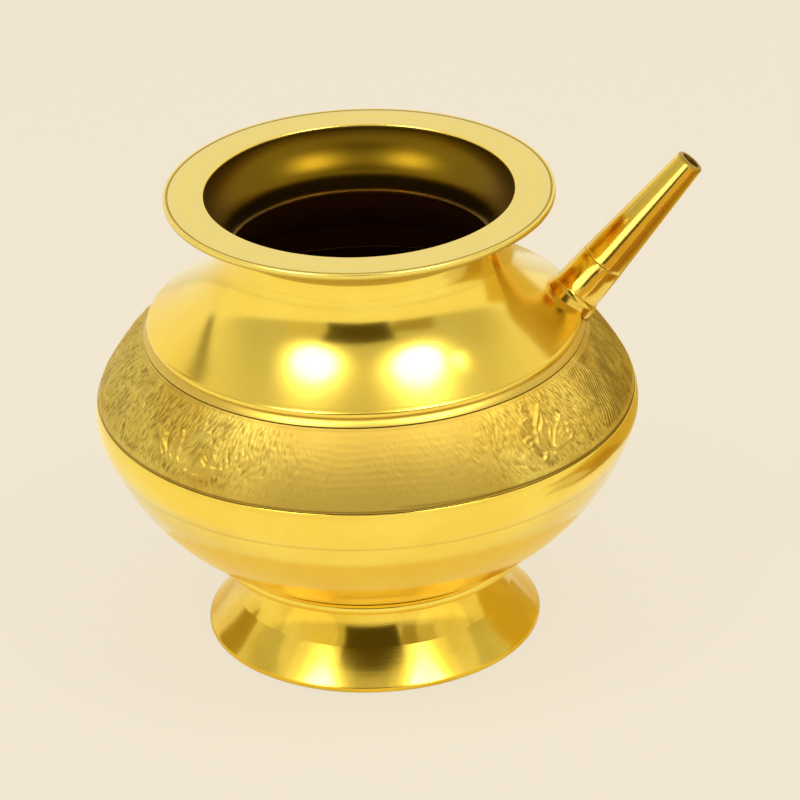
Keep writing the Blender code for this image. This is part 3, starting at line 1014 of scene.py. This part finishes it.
    def bowl(self) -> bpy.types.Object:
        """Lower shell, closed below, with a tongue behind the band.

        Returns:
            The piece.
        """
        seam = self.belly_seam - self.line_gap / 2.0
        inside = self.base + self.wall
        near, far = self.base_rings
        line = Outline()
        line.add([(0.0, inside), (near, inside), (far, inside), (self.base_radius - 0.6, inside)],
                 Zone.INSIDE)
        line.add(arc(self.bowl_edge_inner, (self.crease_radius - self.wall, self.crease + 0.5),
                     -self.bowl_bulge, 24), Zone.INSIDE)
        line.add([(self.belly_radius - self.wall, self.crease + 5.5), (self.tongue_inner, seam - 0.6),
                  (self.tongue_inner, seam + self.tongue), (self.tongue_outer, seam + self.tongue),
                  (self.tongue_outer, seam)], Zone.INSIDE)
        line.add([(self.belly_seam_radius, seam)], rounding=0.15)
        line.add(arc((self.belly_seam_radius, seam), (self.crease_radius, self.crease), 1.0, 20)[1:-1])
        # Painted shade: a faint dark line in the crease
        line.add([(self.crease_radius - 0.03, self.crease)], Zone.SHADE_PAINT, 0.055)
        line.add(arc((self.crease_radius, self.crease), self.bowl_edge, self.bowl_bulge, 56)[1:])
        line.add([(self.base_radius, self.base)], rounding=0.2)
        line.add([(far, self.base), (near, self.base), (0.0, self.base)])
        return line.spin("bowl_spun", self.steps, self.turn())


@dataclass
class Stand(PotAxis):
    """Beaded collar and trumpet foot under the bowl."""

    collar_top: float = 21.1
    collar_gap: float = 0.08
    bead_root: float = 35.5
    bead_bulge: float = 0.95
    bead_height: float = 2.3
    cove_radius: float = 31.2
    fillet_radius: float = 32.0
    spigot_radius: float = 26.4
    spigot: float = 2.8
    bore: float = 25.2
    stem_radius: float = 27.9
    stem_top: float = 16.6
    crease_radius: float = 32.1
    crease: float = 8.2
    foot_radius: float = 38.9
    ring_width: float = 2.0
    wall: float = 1.2
    steps: int = 288

    def make(self, brasses: Brasses) -> bpy.types.Object:
        """Build and dress the two pieces.

        Args:
            brasses: Material of each finish.

        Returns:
            The foot.
        """
        collar, foot = self.collar(), self.foot()
        uneven = Handwork(self.axis_x)
        for piece, node, finish in ((collar, "foot_collar", POLISHED_BRASS), (foot, "foot", HANDLED_BRASS)):
            uneven.apply(piece)
            settle(piece, node, brasses[finish])
        return foot

    def collar(self) -> bpy.types.Object:
        """Ring with a bead, a cove and a fillet.

        Returns:
            The piece.
        """
        top, bottom = self.collar_top, self.stem_top + self.collar_gap
        neck = top - self.bead_height
        line = Outline()
        line.add([(self.bead_root - 0.05, top)])
        line.add(arc((self.bead_root + 0.5, top + 0.3), (self.bead_root, neck), self.bead_bulge, 20))
        cove = arc((self.cove_radius + 1.6, neck), (self.cove_radius, bottom + 0.8), -0.3, 6)
        line.add(cove, rounding=0.1)
        line.add([(self.fillet_radius, bottom + 0.5), (self.fillet_radius - 0.3, bottom)], rounding=0.15)
        line.add([(self.spigot_radius, bottom), (self.spigot_radius, bottom - self.spigot),
                  (self.bore, bottom - self.spigot), (self.bore, top)])
        return line.spin("foot_collar_turned", self.steps, self.turn())

    def foot(self) -> bpy.types.Object:
        """Trumpet foot with a faint crease, open below.

        Returns:
            The piece.
        """
        inner = self.foot_radius - self.ring_width
        line = Outline()
        line.add([(self.stem_radius, self.stem_top)], rounding=0.15)
        line.add(bezier((self.stem_radius, self.stem_top), (self.stem_radius + 0.5, self.stem_top - 3.0),
                        (self.crease_radius - 1.7, self.crease + 2.4),
                        (self.crease_radius, self.crease), 32)[1:])
        line.add(bezier((self.crease_radius + 0.12, self.crease - 0.14),
                        (self.crease_radius + 2.2, self.crease - 2.6),
                        (self.crease_radius + 4.15, self.crease - 4.85),
                        (self.foot_radius - 0.5, 1.1), 32))
        line.add(arc((self.foot_radius - 0.25, 0.8), (self.foot_radius - 0.35, 0.0), 0.22, 6))
        line.add([(inner, 0.0)], Zone.INSIDE, 0.6, rounding=0.2)
        line.add(bezier((inner - 0.9, 0.6), (self.foot_radius - 7.3, 4.6),
                        (self.stem_radius - 0.5, self.stem_top - 5.8),
                        (self.stem_radius - self.wall, self.stem_top), 30), Zone.INSIDE, 0.6)
        return line.spin("foot_spun", self.steps, self.turn())


@dataclass
class Spout:
    """Collar, ferrule and tapered tube on the spout's slanted axis."""

    axis_x: float
    root_radius: float = 48.0
    root_z: float = 78.8
    tilt: float = 49.0
    length: float = 42.5
    root_width: float = 5.75
    joint_width: float = 5.35
    joint: float = 11.2
    joint_gap: float = 0.07
    tip_width: float = 3.25
    tip_bore: float = 2.2
    taper_steps: int = 30
    collar_width: float = 6.4
    collar_top: float = 1.95
    collar_bore: float = 3.0
    collar_skirt: float = 3.0
    shank_radius: float = 2.7
    shank_end: float = -5.5
    shank_bore: float = 1.9
    socket_radius: float = 4.4
    socket_floor: float = 5.2
    tube_radius: float = 4.2
    tube_end: float = 5.4
    tube_bore: float = 3.2
    steps: int = 96

    def make(self, skin: list[Point], brasses: Brasses) -> list[bpy.types.Object]:
        """Build and dress the three pieces.

        Args:
            skin: Outer line of the pot, as radius and height from the neck down.
            brasses: Material of each finish.

        Returns:
            The pieces.
        """
        pieces = [self.collar(skin), self.ferrule(), self.tube()]
        for piece, node in zip(pieces, ("spout_collar", "spout_ferrule", "spout_tube")):
            settle(piece, node, brasses[DRAWN_BRASS])
        return pieces

    def root(self) -> Vector:
        """Point in metres where the spout's axis leaves the shoulder."""
        return Vector((self.axis_x + self.root_radius * MM, 0.0, self.root_z * MM))

    def way(self) -> Vector:
        """Unit vector along the spout, out of the pot."""
        angle = math.radians(self.tilt)
        return Vector((math.cos(angle), 0.0, math.sin(angle)))

    def turn(self) -> Matrix:
        """Place of the spout's axis."""
        slant = Matrix.Rotation(math.radians(90.0 - self.tilt), 4, "Y")
        return Matrix.Translation(self.root()) @ slant

    def collar(self, skin: list[Point]) -> bpy.types.Object:
        """Ring that seats the spout, its underside laid on the pot's skin.

        Args:
            skin: Outer line of the pot, as radius and height from the neck down.

        Returns:
            The piece.
        """
        crest = self.collar_top + 0.45
        line = Outline()
        line.add([(self.collar_bore, self.collar_top), (self.root_width - 0.1, self.collar_top),
                  (self.root_width, crest)])
        line.add(arc((self.root_width, crest), (self.collar_width - 0.15, self.collar_top - 0.8),
                     -0.12, 8)[1:], rounding=0.08)
        line.add([(self.collar_width + 0.25, -self.collar_skirt), (self.collar_bore, -self.collar_skirt)])
        piece = line.spin("spout_collar_turned", self.steps, self.turn())
        self.seat(piece, np.array(skin))
        return piece

    def seat(self, piece: bpy.types.Object, skin: np.ndarray) -> None:
        """Slide the underside of a ring along the spout's axis on to the pot.

        Args:
            piece: Ring whose lowest vertices are moved.
            skin: Outer line of the pot, as radius and height from the neck down.
        """
        turn = self.turn()
        back = turn.inverted()
        slides = np.linspace(3.0, -5.0, 400)
        for vert in piece.data.vertices:
            local = back @ vert.co
            if local.z > (0.5 - self.collar_skirt) * MM:
                continue
            for slide in slides:
                spot = turn @ Vector((local.x, local.y, slide * MM))
                radius = math.hypot(spot.x - self.axis_x, spot.y) / MM
                if radius < np.interp(-spot.z / MM, -skin[:, 1], skin[:, 0]) + 0.02:
                    vert.co = spot
                    break
        piece.data.update()

    def ferrule(self) -> bpy.types.Object:
        """Socket through the wall.

        Returns:
            The piece.
        """
        seat = self.collar_top + 0.05
        line = Outline()
        line.add([(self.shank_radius, self.shank_end), (self.shank_radius, seat)])
        line.add([(self.root_width, seat)], rounding=0.3)
        line.add([(self.root_width - 0.15, 5.5), (self.root_width - 0.28, 8.5)])
        line.add([(self.joint_width, self.joint)], rounding=0.14)
        line.add([(self.socket_radius, self.joint), (self.socket_radius, self.socket_floor),
                  (self.shank_bore, self.socket_floor), (self.shank_bore, self.shank_end)], Zone.INSIDE)
        return line.spin("spout_ferrule_turned", self.steps, self.turn())

    def tube(self) -> bpy.types.Object:
        """Tapered tube with a rounded tip.

        Returns:
            The piece.
        """
        start = self.joint + self.joint_gap
        width = self.joint_width - 0.05
        line = Outline()
        line.add([(self.tip_bore, self.length)], Zone.INSIDE, 0.7, rounding=0.2)
        line.add([(self.tip_width, self.length)], Zone.INSIDE, 0.5, rounding=0.35)
        for step in range(1, self.taper_steps):
            share = step / self.taper_steps
            line.add([(self.tip_width + (width - self.tip_width) * share,
                       self.length - (self.length - start) * share)])
        line.add([(width, start)], rounding=0.14)
        line.add([(self.tube_radius, start), (self.tube_radius, self.tube_end),
                  (self.tube_bore, self.tube_end)], Zone.INSIDE)
        return line.spin("spout_tube_drawn", self.steps, self.turn())


class Reach(Enum):
    """Pieces that a light or card reaches, as flags on stands would leave it."""

    SHELL = "all_but_spout_foot_and_lip"
    ENDS = "foot_and_lip"
    SPOUT = "spout_alone"
    FOOT = "foot_alone"
    BAND = "band_alone"
    NOT_SPOUT = "all_but_spout"
    NOT_FOOT = "all_but_foot"


@dataclass(frozen=True)
class Lamp:
    """Round soft light that faces the pot.

    Azimuth is in degrees to the right of the camera and elevation in degrees above the floor.
    Size and distance are in metres. Radiance is the brightness of the lamp's face.
    """

    name: str
    azimuth: float
    elevation: float
    size: Point
    radiance: float
    reach: Reach
    distance: float = 1.1


@dataclass(frozen=True)
class Card:
    """Card that only the polished metal shows, in the same units as a lamp.

    It faces the pot, or lies on the floor if it has no elevation. A card with pieces set apart is a
    gel: those pieces see no card, and the others see the room through it in its shade.
    """

    name: str
    size: Point
    azimuth: float
    elevation: Optional[float]
    distance: float
    shade: str
    disc: bool = False
    apart: Optional[Reach] = None


def softbox(side: str, azimuth: float, elevation: float, scale: float, reach: Reach) -> list[Lamp]:
    """Bright core of a softbox and its fading rim, as nested lamps.

    Args:
        side: Word that tells the softboxes apart.
        azimuth: Degrees to the right of the camera.
        elevation: Degrees above the floor.
        scale: Size against the plain softbox.
        reach: Pieces that it lights.

    Returns:
        The lamps from the core outwards.
    """
    # Width in metres and radiance of each lamp
    rings = ((0.39, 9.0), (0.49, 0.7), (0.60, 0.3), (0.74, 0.15))
    return [Lamp(f"softbox_{side}_{ring}", azimuth, elevation, (width * scale, width * scale * 1.02),
                 radiance, reach) for ring, (width, radiance) in enumerate(rings)]


LAMPS = (
    *softbox("left", -48.0, 61.0, 1.0, Reach.SHELL),
    *softbox("right", 52.5, 64.0, 1.0, Reach.SHELL),
    *softbox("low_left", -54.0, 56.0, 1.12, Reach.ENDS),
    *softbox("low_right", 46.0, 56.0, 1.12, Reach.ENDS),
    Lamp("window_right", 84.0, 57.0, (0.10, 0.10), 4.0, Reach.SHELL),
    Lamp("spout_strip", -31.5, 17.5, (0.90, 0.54), 1.8, Reach.SPOUT),
    Lamp("band_fill", 85.0, 42.0, (0.50, 0.50), 1.6, Reach.BAND),
    Lamp("foot_fill_left", -58.0, 24.0, (0.70, 0.74), 0.20, Reach.FOOT, 0.85),
    Lamp("foot_fill_right", 60.0, 24.0, (0.70, 0.74), 0.20, Reach.FOOT, 0.85),
)
CARDS = (
    Card("flag_left", (0.50, 0.26), -43.0, 32.0, 1.0, "#D6D0B0"),
    Card("flag_right", (0.46, 0.26), 38.0, 32.0, 1.0, "#A69C72"),
    Card("flag_core", (0.72, 0.46), -4.0, 37.5, 0.97, "#4E4420"),
    Card("skirting", (0.28, 0.16), -4.0, 2.2, 0.9, "#2C2410", apart=Reach.NOT_SPOUT),
    Card("spout_front", (0.88, 0.36), 14.0, None, 0.62, "#E0C078", apart=Reach.NOT_SPOUT),
    Card("spout_shade", (0.09, 0.13), 62.0, None, 0.172, "#B68A40", apart=Reach.NOT_SPOUT),
    Card("foot_shade", (0.36, 0.24), -120.0, 15.0, 1.0, "#B4A45C", apart=Reach.NOT_FOOT),
    Card("left_dark", (0.07, 0.46), -122.0, 32.0, 1.0, "#6E5C2C"),
    Card("right_wall", (0.42, 0.25), 122.0, 8.0, 0.5, "#DEC66E"),
    Card("right_floor", (0.42, 0.38), 122.0, None, 0.33, "#D2B85E"),
    Card("spout_floor", (0.11, 0.11), 87.0, None, 0.178, "#B08A36"),
    # A golden disc round the foot, seen only in the metal: painted contact shadow and painted bounce light
    # on the floor
    Card("foot_bounce_and_shade", (0.124, 0.124), 0.0, None, 0.0, "#EEDCA4", disc=True),
)


@dataclass
class Studio:
    """Floor, lights, surroundings and the camera of the photograph."""

    axis_x: float
    camera_elevation: float = 27.2
    camera_turn: float = -4.5
    camera_roll: float = 2.0
    camera_distance: float = 1300.0
    sensor: float = 36.0
    aim_height: float = 50.0
    aim_pixel: Point = (367.9, 421.7)
    pixels_per_mm: float = 4.323
    image: float = 800.0
    backdrop: str = "#EFE4CE"
    in_metal: str = "#E9E9E5"
    room: str = "#FFFDF8"
    room_low: float = 1.03
    room_high: float = 0.62
    floor_half: float = 1.1
    floor_glow: float = 0.92
    floor_glow_in_metal: float = 0.40
    groups: dict[Reach, bpy.types.Collection] = field(default_factory=dict)

    def axes(self) -> tuple[Vector, Vector, Vector]:
        """Right, up and forward of the camera, before its roll.

        Returns:
            Three unit vectors.
        """
        elevation = math.radians(self.camera_elevation)
        turn = math.radians(self.camera_turn)
        right = Vector((math.cos(turn), math.sin(turn), 0.0))
        level = Vector((-math.sin(turn), math.cos(turn), 0.0))
        forward = level * math.cos(elevation) - Vector((0.0, 0.0, math.sin(elevation)))
        return right, right.cross(forward), forward

    def camera(self) -> None:
        """Stand the camera where the photograph was taken."""
        right, up, forward = self.axes()
        roll = math.radians(self.camera_roll)
        side = right * math.cos(roll) - up * math.sin(roll)
        head = right * math.sin(roll) + up * math.cos(roll)
        aim = Vector((self.axis_x, 0.0, self.aim_height * MM))
        half = self.image / 2.0
        across = (self.aim_pixel[0] - half) / self.pixels_per_mm * MM
        above = (half - self.aim_pixel[1]) / self.pixels_per_mm * MM
        place = aim - forward * (self.camera_distance * MM) - side * across - head * above
        data = bpy.data.cameras.new("camera")
        data.sensor_width = self.sensor
        data.lens = self.pixels_per_mm * self.camera_distance / self.image * self.sensor
        data.clip_start = 0.01
        data.clip_end = 50.0
        made = bpy.data.objects.new("camera", data)
        turn = Matrix((side, head, -forward)).transposed().to_4x4()
        made.matrix_world = Matrix.Translation(place) @ turn
        bpy.context.scene.collection.objects.link(made)
        bpy.context.scene.camera = made

    def direction(self, azimuth: float, elevation: float) -> Vector:
        """Direction from the pot, with azimuth 0 towards the camera and positive to its right.

        Args:
            azimuth: Degrees to the right of the camera.
            elevation: Degrees above the floor.

        Returns:
            Unit vector.
        """
        right, _, forward = self.axes()
        level = Vector((forward.x, forward.y, 0.0)).normalized()
        turn = math.radians(azimuth)
        rise = math.radians(elevation)
        flat = right * math.sin(turn) - level * math.cos(turn)
        return flat * math.cos(rise) + Vector((0.0, 0.0, math.sin(rise)))

    def facing(self, azimuth: float, elevation: float, distance: float) -> Matrix:
        """Place at some distance from the pot, with local -Z towards it.

        Args:
            azimuth: Degrees to the right of the camera.
            elevation: Degrees above the floor.
            distance: Metres from the pot.

        Returns:
            The place.
        """
        centre = Vector((self.axis_x, 0.0, self.aim_height * MM))
        out = self.direction(azimuth, elevation)
        turn = (-out).to_track_quat("-Z", "Y").to_matrix().to_4x4()
        return Matrix.Translation(centre + out * distance) @ turn

    def on_floor(self, azimuth: float, distance: float) -> Matrix:
        """Place just above the floor, with local X away from the pot's axis.

        Args:
            azimuth: Degrees to the right of the camera.
            distance: Metres from the axis.

        Returns:
            The place.
        """
        along = self.direction(azimuth, 0.0)
        turn = Matrix.Rotation(math.atan2(along.y, along.x), 4, "Z")
        return Matrix.Translation(along * distance + Vector((self.axis_x, 0.0, MM))) @ turn

    def hang(self, lamp: Lamp) -> None:
        """Hang a lamp and point it at the pot.

        Args:
            lamp: Lamp to be hung.
        """
        data = bpy.data.lights.new(lamp.name, "AREA")
        data.shape = "ELLIPSE"
        data.size, data.size_y = lamp.size
        data.energy = lamp.radiance * math.pi * data.size * data.size_y
        made = bpy.data.objects.new(lamp.name, data)
        made.matrix_world = self.facing(lamp.azimuth, lamp.elevation, lamp.distance)
        made.light_linking.receiver_collection = self.groups[lamp.reach]
        bpy.context.scene.collection.objects.link(made)

    def group(self, spout: Sequence[bpy.types.Object], foot: bpy.types.Object, lip: bpy.types.Object,
              band: bpy.types.Object) -> None:
        """Gather the pieces that some lights and cards reach alone, or do not reach.

        Args:
            spout: Pieces of the spout.
            foot: The foot.
            lip: The mouth ring.
            band: The chased band.
        """
        for reach, state, pieces in ((Reach.SHELL, "EXCLUDE", (*spout, foot, lip)),
                                     (Reach.ENDS, "INCLUDE", (foot, lip)),
                                     (Reach.SPOUT, "INCLUDE", spout),
                                     (Reach.FOOT, "INCLUDE", (foot,)),
                                     (Reach.BAND, "INCLUDE", (band,)),
                                     (Reach.NOT_SPOUT, "EXCLUDE", spout),
                                     (Reach.NOT_FOOT, "EXCLUDE", (foot,))):
            made = bpy.data.collections.new(reach.value)
            for piece in pieces:
                made.objects.link(piece)
            for entry in made.collection_objects:
                entry.light_linking.link_state = state
            self.groups[reach] = made

    @staticmethod
    def clear_paper(board: bpy.types.Object) -> bpy.types.NodeTree:
        """Give a card or the floor a new material without nodes.

        Args:
            board: Card or floor.

        Returns:
            Empty node tree of the material.
        """
        paper = bpy.data.materials.new(board.name + "_paper")
        paper.use_nodes = True
        paper.node_tree.nodes.clear()
        board.data.materials.append(paper)
        return paper.node_tree

    def put_up(self, card: Card) -> None:
        """Put up a card.

        Args:
            card: Card to be put up.
        """
        if card.elevation is None:
            place = self.on_floor(card.azimuth, card.distance)
        else:
            place = self.facing(card.azimuth, card.elevation, card.distance)
        work = bmesh.new()
        if card.disc:
            bmesh.ops.create_circle(work, cap_ends=True, segments=96, radius=0.5)
        else:
            bmesh.ops.create_grid(work, x_segments=1, y_segments=1, size=0.5)
        bmesh.ops.scale(work, vec=(*card.size, 1.0), verts=work.verts)
        bmesh.ops.transform(work, matrix=place, verts=work.verts)
        board = mesh_object(card.name, work)
        tree = self.clear_paper(board)
        shade = linear(card.shade)
        if card.apart:
            # What the gel takes from the room is given back to the pieces set apart
            rest = (*(1.0 - part for part in shade[:3]), 1.0)
            glow = add_node(tree, "ShaderNodeEmission", {"Color": rest, "Strength": 1.0})
            gel = add_node(tree, "ShaderNodeBsdfTransparent", {"Color": shade})
            face = add_node(tree, "ShaderNodeAddShader", {0: glow.outputs[0], 1: gel.outputs[0]})
            board.light_linking.receiver_collection = self.groups[card.apart]
        else:
            face = add_node(tree, "ShaderNodeEmission", {"Color": shade, "Strength": 1.0})
        add_node(tree, "ShaderNodeOutputMaterial", {0: face.outputs[0]})
        board.visible_camera = False
        board.visible_diffuse = False
        board.visible_shadow = False

    def floor(self) -> None:
        """Lay a pale floor that shows evenly and still takes the pot's shadow."""
        work = bmesh.new()
        bmesh.ops.create_grid(work, x_segments=1, y_segments=1, size=self.floor_half)
        ground = mesh_object("floor", work)
        tree = self.clear_paper(ground)
        path = add_node(tree, "ShaderNodeLightPath")
        tone = add_node(tree, "ShaderNodeMix", {
            "Factor": path.outputs["Is Glossy Ray"], "A": linear(self.backdrop),
            "B": linear(self.in_metal)}, data_type="RGBA")
        matt = add_node(tree, "ShaderNodeBsdfDiffuse", {"Color": tone.outputs["Result"]})
        glow = add_node(tree, "ShaderNodeEmission", {"Color": tone.outputs["Result"], "Strength": 1.0})
        dim = add_node(tree, "ShaderNodeMath", {
            0: path.outputs["Is Glossy Ray"], 1: self.floor_glow_in_metal}, operation="MULTIPLY")
        share = add_node(tree, "ShaderNodeMath", {
            0: path.outputs["Is Camera Ray"], 1: self.floor_glow,
            2: dim.outputs[0]}, operation="MULTIPLY_ADD")
        mixed = add_node(tree, "ShaderNodeMixShader", {
            0: share.outputs[0], 1: matt.outputs[0], 2: glow.outputs[0]})
        add_node(tree, "ShaderNodeOutputMaterial", {0: mixed.outputs[0]})

    def surroundings(self) -> None:
        """Fill the room: bright low down and behind the pot, dimmer high in front."""
        world = bpy.data.worlds.new("studio")
        bpy.context.scene.world = world
        world.use_nodes = True
        tree = world.node_tree
        tree.nodes.clear()
        sky = add_node(tree, "ShaderNodeTexCoord").outputs["Generated"]
        behind = add_node(tree, "ShaderNodeVectorMath", {
            0: sky, 1: -self.direction(0.0, 0.0)}, operation="DOT_PRODUCT")
        split = add_node(tree, "ShaderNodeSeparateXYZ", {0: sky})
        front = add_node(tree, "ShaderNodeMapRange", {
            "Value": split.outputs["Z"], "From Min": 0.33, "From Max": 0.43, "To Min": self.room_low,
            "To Max": self.room_high}, interpolation_type="SMOOTHSTEP")
        glow = add_node(tree, "ShaderNodeMapRange", {
            "Value": behind.outputs["Value"], "From Min": 0.0, "From Max": 0.6,
            "To Min": front.outputs[0], "To Max": 1.0}, interpolation_type="SMOOTHSTEP")
        room = add_node(tree, "ShaderNodeBackground", {
            "Color": linear(self.room), "Strength": glow.outputs[0]})
        plain = add_node(tree, "ShaderNodeBackground", {"Color": linear(self.backdrop), "Strength": 1.0})
        path = add_node(tree, "ShaderNodeLightPath")
        mixed = add_node(tree, "ShaderNodeMixShader", {
            0: path.outputs["Is Camera Ray"], 1: room.outputs[0], 2: plain.outputs[0]})
        add_node(tree, "ShaderNodeOutputWorld", {0: mixed.outputs[0]})

    def build(self) -> None:
        """Set up the whole studio, once the pieces are grouped."""
        bpy.context.scene.view_settings.view_transform = "Standard"
        self.camera()
        self.floor()
        self.surroundings()
        for lamp in LAMPS:
            self.hang(lamp)
        for card in CARDS:
            self.put_up(card)


def settle(piece: bpy.types.Object, node: str, material: bpy.types.Material) -> None:
    """Dress a piece and let it stand for its CAD node.

    Args:
        piece: Finished piece.
        node: CAD node that it replaces.
        material: Finish of the piece.
    """
    piece.data.materials.clear()
    piece.data.materials.append(material)
    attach(piece, "root")
    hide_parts(node)
    LOG.info("%s: %d faces, %s", piece.name, len(piece.data.polygons), material.name)


def main() -> None:
    """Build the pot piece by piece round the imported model."""
    logging.basicConfig(level=logging.INFO, format="%(name)s %(message)s")
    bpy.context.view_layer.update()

    low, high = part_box("bowl")
    axis_x = (low.x + high.x) / 2.0
    lip_low, lip_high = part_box("mouth_ring")
    spout = Spout(axis_x)
    vessel = Vessel(axis_x, (lip_high.x - lip_low.x) / 2.0 / MM, lip_high.z / MM)
    stand = Stand(axis_x)
    studio = Studio(axis_x)

    brasses = {finish: finish.material(axis_x) for finish in (
        POLISHED_BRASS, HANDLED_BRASS, DRAWN_BRASS, SATIN_BRASS, CHASED_BRASS, FILLER_BRASS)}
    lip, band = vessel.make(spout, brasses)
    foot = stand.make(brasses)
    studio.group(spout.make(vessel.skin(), brasses), foot, lip, band)
    for name in ("neck_seam_braze", "shoulder_seam_braze", "belly_seam_braze", "foot_seam_braze",
                 "spout_root_braze"):
        ring = bpy.data.objects[name]
        ring.data.materials.clear()
        ring.data.materials.append(brasses[FILLER_BRASS])
        LOG.info("%s: CAD shape, %s", name, FILLER_BRASS.name)

    studio.build()


if __name__ == "__main__":
    main()
